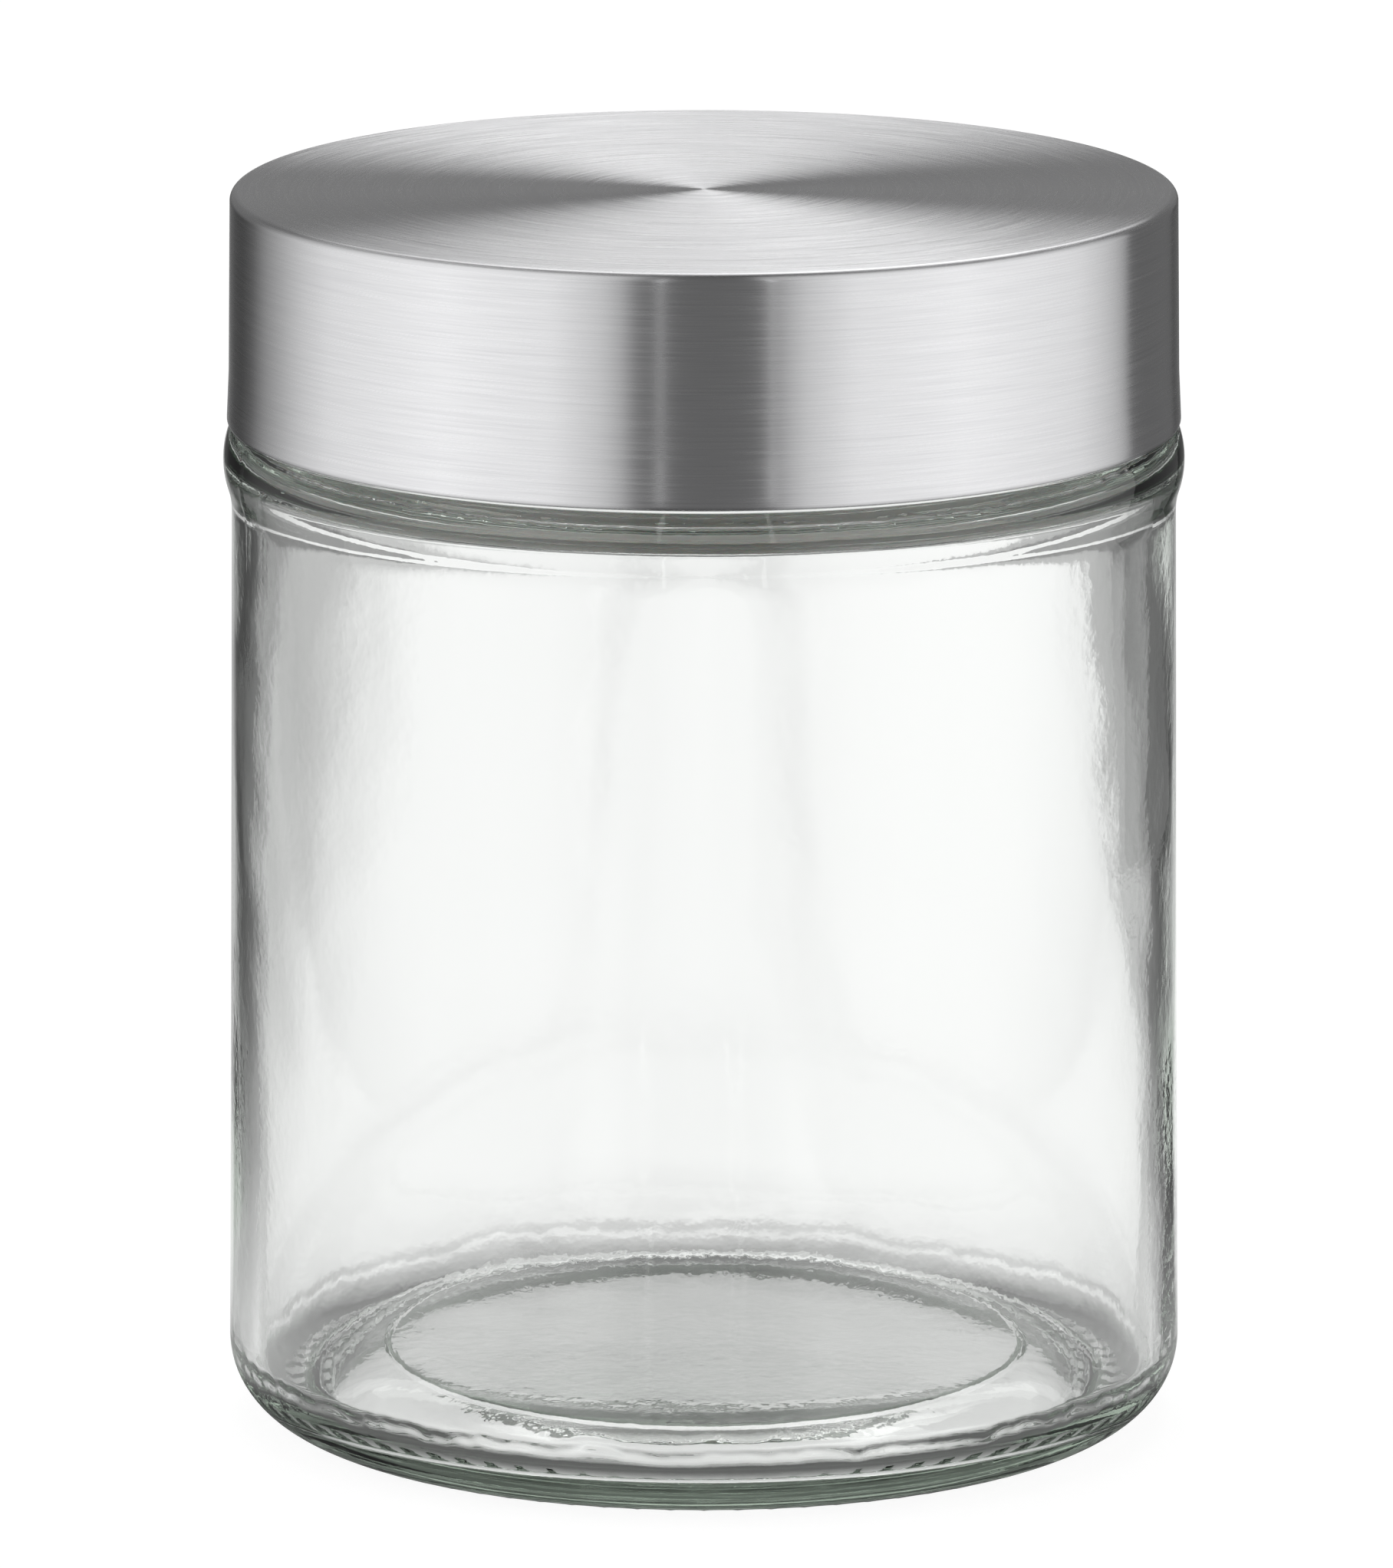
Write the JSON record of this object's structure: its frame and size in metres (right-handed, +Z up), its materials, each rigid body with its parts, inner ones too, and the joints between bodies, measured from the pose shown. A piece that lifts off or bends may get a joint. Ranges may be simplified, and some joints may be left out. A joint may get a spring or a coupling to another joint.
{
  "type": "glass storage jar",
  "caption": "Straight round glass storage jar with a bead under a flush brushed steel screw lid, a threaded plastic insert and a flat seal.",
  "frame": {"origin": "middle of the base, on the plane of the ring that the jar stands on", "axes": "+Z up along the jar's axis, through the middle of the lid; -Y faces the viewer of the picture"},
  "size_m": [0.112, 0.112, 0.1458],
  "materials": {
    "clear_glass": "fire-polished clear soda-lime glass with a slight green tint",
    "brushed_stainless": "spin-brushed on top and brushed round the side",
    "polypropylene": "natural white moulded",
    "silicone": "matt translucent white"
  },
  "bodies": {
    "jar": {"glass_jar": "clear_glass"},
    "seal": {"seal_ring": "silicone"},
    "lid": {"lid_shell": "brushed_stainless", "lid_liner": "polypropylene"}
  },
  "joints": [
    {"name": "lid_rise", "type": "slide", "parent": "jar", "child": "seal", "axis": [0, 0, 1], "range_m": [0, 0.0301]},
    {"name": "lid_turn", "type": "hinge", "parent": "seal", "child": "lid", "pos_m": [0, 0, 0.1458], "axis": [0, 0, 1], "range_deg": [0, 450]}
  ],
  "couplings": [
    {"joint": "lid_rise", "follows": "lid_turn", "m_per_rad": 0.0038197}
  ]
}
